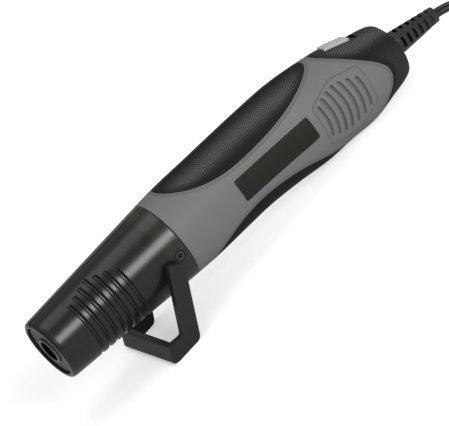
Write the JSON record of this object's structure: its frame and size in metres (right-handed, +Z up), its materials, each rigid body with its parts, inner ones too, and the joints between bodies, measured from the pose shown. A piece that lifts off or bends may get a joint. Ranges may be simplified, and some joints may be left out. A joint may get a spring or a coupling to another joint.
{
  "type": "embossing heat tool",
  "caption": "Slim hot-air pen with a tapered dark nose, round outlet, grey handle with soft black grips, slide switch, fold-away stand and coiled mains lead.",
  "frame": {"origin": "middle of the base that the tool covers when it lies on its stand and tail, on the table's surface, measured without the mains lead", "axes": "+X from the nose towards the tail and the lead, +Y away from the labelled side, +Z up"},
  "size_m": [0.3792, 0.0888, 0.0613],
  "materials": {
    "nose_left": "smoked translucent plastic, satin",
    "nose_right": "smoked translucent plastic, satin",
    "front_disc": "matte heat-proof composite",
    "outlet_tube": "bright rolled steel",
    "mica_sleeve": "mica sheet",
    "heater_core": "mica card",
    "heater_wire": "resistance wire",
    "thermal_fuse": "ceramic",
    "heater_holder": "ceramic ring",
    "left_shell": "fine matte moulded plastic",
    "right_shell": "fine matte moulded plastic",
    "top_grip": "textured soft grip",
    "bottom_grip": "textured soft grip",
    "tail_cap": "textured soft grip",
    "label_plate": "plain dark foil",
    "nose_screws": "black oxide",
    "shell_screws": "black oxide",
    "pivot_pins": "turned steel",
    "stand": "satin charcoal plastic",
    "motor": "plated can",
    "motor_mount": "moulded plastic",
    "motor_shaft": "ground steel",
    "fan": "moulded plastic",
    "circuit_board": "lacquered board",
    "switch_body": "black moulded plastic",
    "switch_knob": "light grey moulded plastic",
    "strain_relief": "black rubber",
    "cord_lead": "black sheath",
    "cord_coil": "black sheath",
    "cord_tie": "woven tie",
    "cord_tail": "black sheath",
    "plug_body": "black moulded plug",
    "plug_pins": "nickel plated"
  },
  "bodies": {
    "tool": {"nose_left": "nose_left", "nose_right": "nose_right", "front_disc": "front_disc", "outlet_tube": "outlet_tube", "mica_sleeve": "mica_sleeve", "heater_core": "heater_core", "heater_wire": "heater_wire", "thermal_fuse": "thermal_fuse", "heater_holder": "heater_holder", "left_shell": "left_shell", "right_shell": "right_shell", "top_grip": "top_grip", "bottom_grip": "bottom_grip", "tail_cap": "tail_cap", "label_plate": "label_plate", "nose_screws": "nose_screws", "shell_screws": "shell_screws", "pivot_pins": "pivot_pins", "motor": "motor", "motor_mount": "motor_mount", "circuit_board": "circuit_board", "switch_body": "switch_body", "strain_relief": "strain_relief", "cord_lead": "cord_lead", "cord_coil": "cord_coil", "cord_tie": "cord_tie", "cord_tail": "cord_tail", "plug_body": "plug_body", "plug_pins": "plug_pins"},
    "stand": {"stand": "stand"},
    "switch_knob": {"switch_knob": "switch_knob"},
    "rotor": {"fan": "fan", "motor_shaft": "motor_shaft"}
  },
  "joints": [
    {"name": "stand_hinge", "type": "hinge", "parent": "tool", "child": "stand", "pos_m": [-0.0507, 0, 0.03334], "axis": [0, -1, 0], "range_deg": [0, 95]},
    {"name": "switch_slide", "type": "slide", "parent": "tool", "child": "switch_knob", "axis": [0.9239, 0, -0.3827], "range_m": [0, 0.0044]},
    {"name": "fan_spin", "type": "hinge", "parent": "tool", "child": "rotor", "pos_m": [-0.02329, 0, 0.03703], "axis": [0.9978, 0, -0.0664], "continuous": true}
  ]
}
